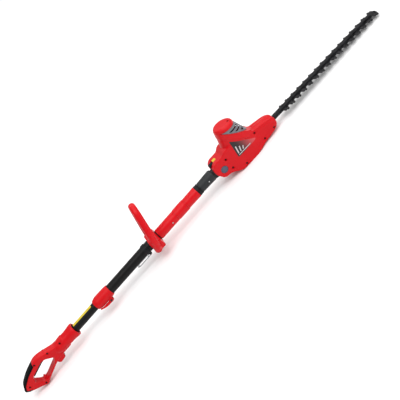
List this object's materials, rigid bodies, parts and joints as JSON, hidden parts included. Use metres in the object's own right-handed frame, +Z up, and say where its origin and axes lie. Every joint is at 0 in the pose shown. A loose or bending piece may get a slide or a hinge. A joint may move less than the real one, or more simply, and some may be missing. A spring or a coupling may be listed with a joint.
{
  "type": "pole hedge trimmer",
  "caption": "Telescopic electric hedge trimmer with a tilting motor head, double-sided reciprocating blade, loop handle and closed rear grip.",
  "frame": {"origin": "middle of the bounding box's base, on the ground under the laid-down trimmer", "axes": "+X from the rear grip towards the blade's tip along the pole, +Z up through the motor tower, +Y to the user's left"},
  "size_m": [1.6896, 0.1242, 0.2106],
  "materials": {
    "red_plastic": "moulded, semi-gloss",
    "black_plastic": "fine-grained",
    "grey_plastic": "fine-grained",
    "vent_plastic": "satin",
    "grip_rubber": "soft, matt",
    "tube_paint": "satin black on aluminium tube",
    "bright_steel": "ground",
    "dark_steel": "blackened, oiled",
    "bearing_brass": "turned",
    "winding_copper": "varnished windings",
    "label_yellow": "printed film"
  },
  "bodies": {
    "pole": {"outer_tube": "tube_paint", "guide_bush": "black_plastic", "clamp_collar": "red_plastic", "clamp_pin": "dark_steel", "sleeve_rear": "red_plastic", "sleeve_collar": "red_plastic", "sleeve_front": "red_plastic", "seal_ring": "black_plastic", "sleeve_screw": "bright_steel", "loop_handle": "red_plastic", "loop_clamp": "red_plastic", "loop_bolt_left": "dark_steel", "loop_bolt_right": "dark_steel", "strap_band": "black_plastic", "strap_pin": "bright_steel", "adapter": "grey_plastic", "adapter_screw": "bright_steel"},
    "rear_handle": {"inner_tube": "tube_paint", "scale_label": "label_yellow", "handle_shell_left": "red_plastic", "handle_shell_right": "red_plastic", "grip_pad": "grip_rubber", "trigger_pin": "bright_steel", "power_switch": "black_plastic", "inlet_block": "black_plastic", "inlet_contacts": "bearing_brass"},
    "lever": {"clamp_lever": "red_plastic"},
    "trigger_blade": {"trigger": "black_plastic", "trigger_spring": "bright_steel"},
    "button": {"lock_off_button": "black_plastic"},
    "hook": {"strap_hook": "bright_steel"},
    "head": {"head_shell_left": "red_plastic", "head_shell_right": "red_plastic", "vent_cover": "vent_plastic", "motor_end_cap": "red_plastic", "motor_can": "dark_steel", "motor_bearing_lower": "bright_steel", "motor_bearing_upper": "bright_steel", "gearbox_plate": "bright_steel", "gear_bearing_upper": "bearing_brass", "gear_bearing_lower": "bearing_brass", "blade_bar": "dark_steel", "blade_bolt_1": "bright_steel", "blade_bolt_2": "bright_steel", "blade_bolt_3": "bright_steel", "pivot_axle": "bright_steel", "pivot_cap_left": "grey_plastic", "pivot_cap_right": "grey_plastic"},
    "latch": {"tilt_latch": "black_plastic", "latch_spring": "bright_steel"},
    "rotor": {"motor_shaft": "bright_steel", "armature": "winding_copper", "cooling_fan": "black_plastic", "pinion": "bright_steel"},
    "gear": {"drive_gear": "bright_steel", "gear_shaft": "bright_steel", "upper_eccentric": "bright_steel", "lower_eccentric": "bright_steel"},
    "top_cutter": {"upper_blade": "dark_steel"},
    "bottom_cutter": {"lower_blade": "dark_steel"}
  },
  "joints": [
    {"name": "telescope", "type": "slide", "parent": "pole", "child": "rear_handle", "axis": [-1, 0, 0], "range_m": [-0.095, 0.26]},
    {"name": "clamp_lever_flip", "type": "hinge", "parent": "pole", "child": "lever", "pos_m": [-0.42745, -0.014, 0.03738], "axis": [0, -0.866, 0.5], "range_deg": [0, 100]},
    {"name": "trigger_pull", "type": "hinge", "parent": "rear_handle", "child": "trigger_blade", "pos_m": [-0.78344, 0, 0.06613], "axis": [0, -1, 0], "range_deg": [0, 6], "stiffness_Nm_per_rad": 3, "springref_deg": -2.86, "deforming": ["trigger_spring"]},
    {"name": "lock_off_press", "type": "slide", "parent": "rear_handle", "child": "button", "axis": [0, -1, 0], "range_m": [0, 0.003], "stiffness_N_per_m": 400, "springref_m": -0.002},
    {"name": "strap_hook_swing", "type": "hinge", "parent": "pole", "child": "hook", "pos_m": [-0.23145, 0, 0.03713], "axis": [0, -1, 0], "range_deg": [0, 80]},
    {"name": "head_tilt", "type": "hinge", "parent": "pole", "child": "head", "pos_m": [0.13256, 0, 0.05363], "axis": [0, 1, 0], "range_deg": [0, 75]},
    {"name": "tilt_latch_slide", "type": "slide", "parent": "head", "child": "latch", "axis": [0.9994, 0, -0.0349], "range_m": [0, 0.005], "stiffness_N_per_m": 400, "springref_m": -0.002},
    {"name": "motor_spin", "type": "hinge", "parent": "head", "child": "rotor", "pos_m": [0.22464, 0, 0.05441], "axis": [0.0349, 0, 0.9994], "continuous": true},
    {"name": "gear_spin", "type": "hinge", "parent": "head", "child": "gear", "pos_m": [0.25187, 0, 0.05346], "axis": [0.0349, 0, 0.9994], "continuous": true},
    {"name": "top_cutter_stroke", "type": "slide", "parent": "head", "child": "top_cutter", "axis": [0.9994, 0, -0.0349], "range_m": [-0.005, 0.005]},
    {"name": "bottom_cutter_stroke", "type": "slide", "parent": "head", "child": "bottom_cutter", "axis": [0.9994, 0, -0.0349], "range_m": [-0.005, 0.005]}
  ],
  "couplings": [
    {"joint": "gear_spin", "follows": "motor_spin", "ratio": -0.2},
    {"joint": "bottom_cutter_stroke", "follows": "top_cutter_stroke", "ratio": -1}
  ]
}
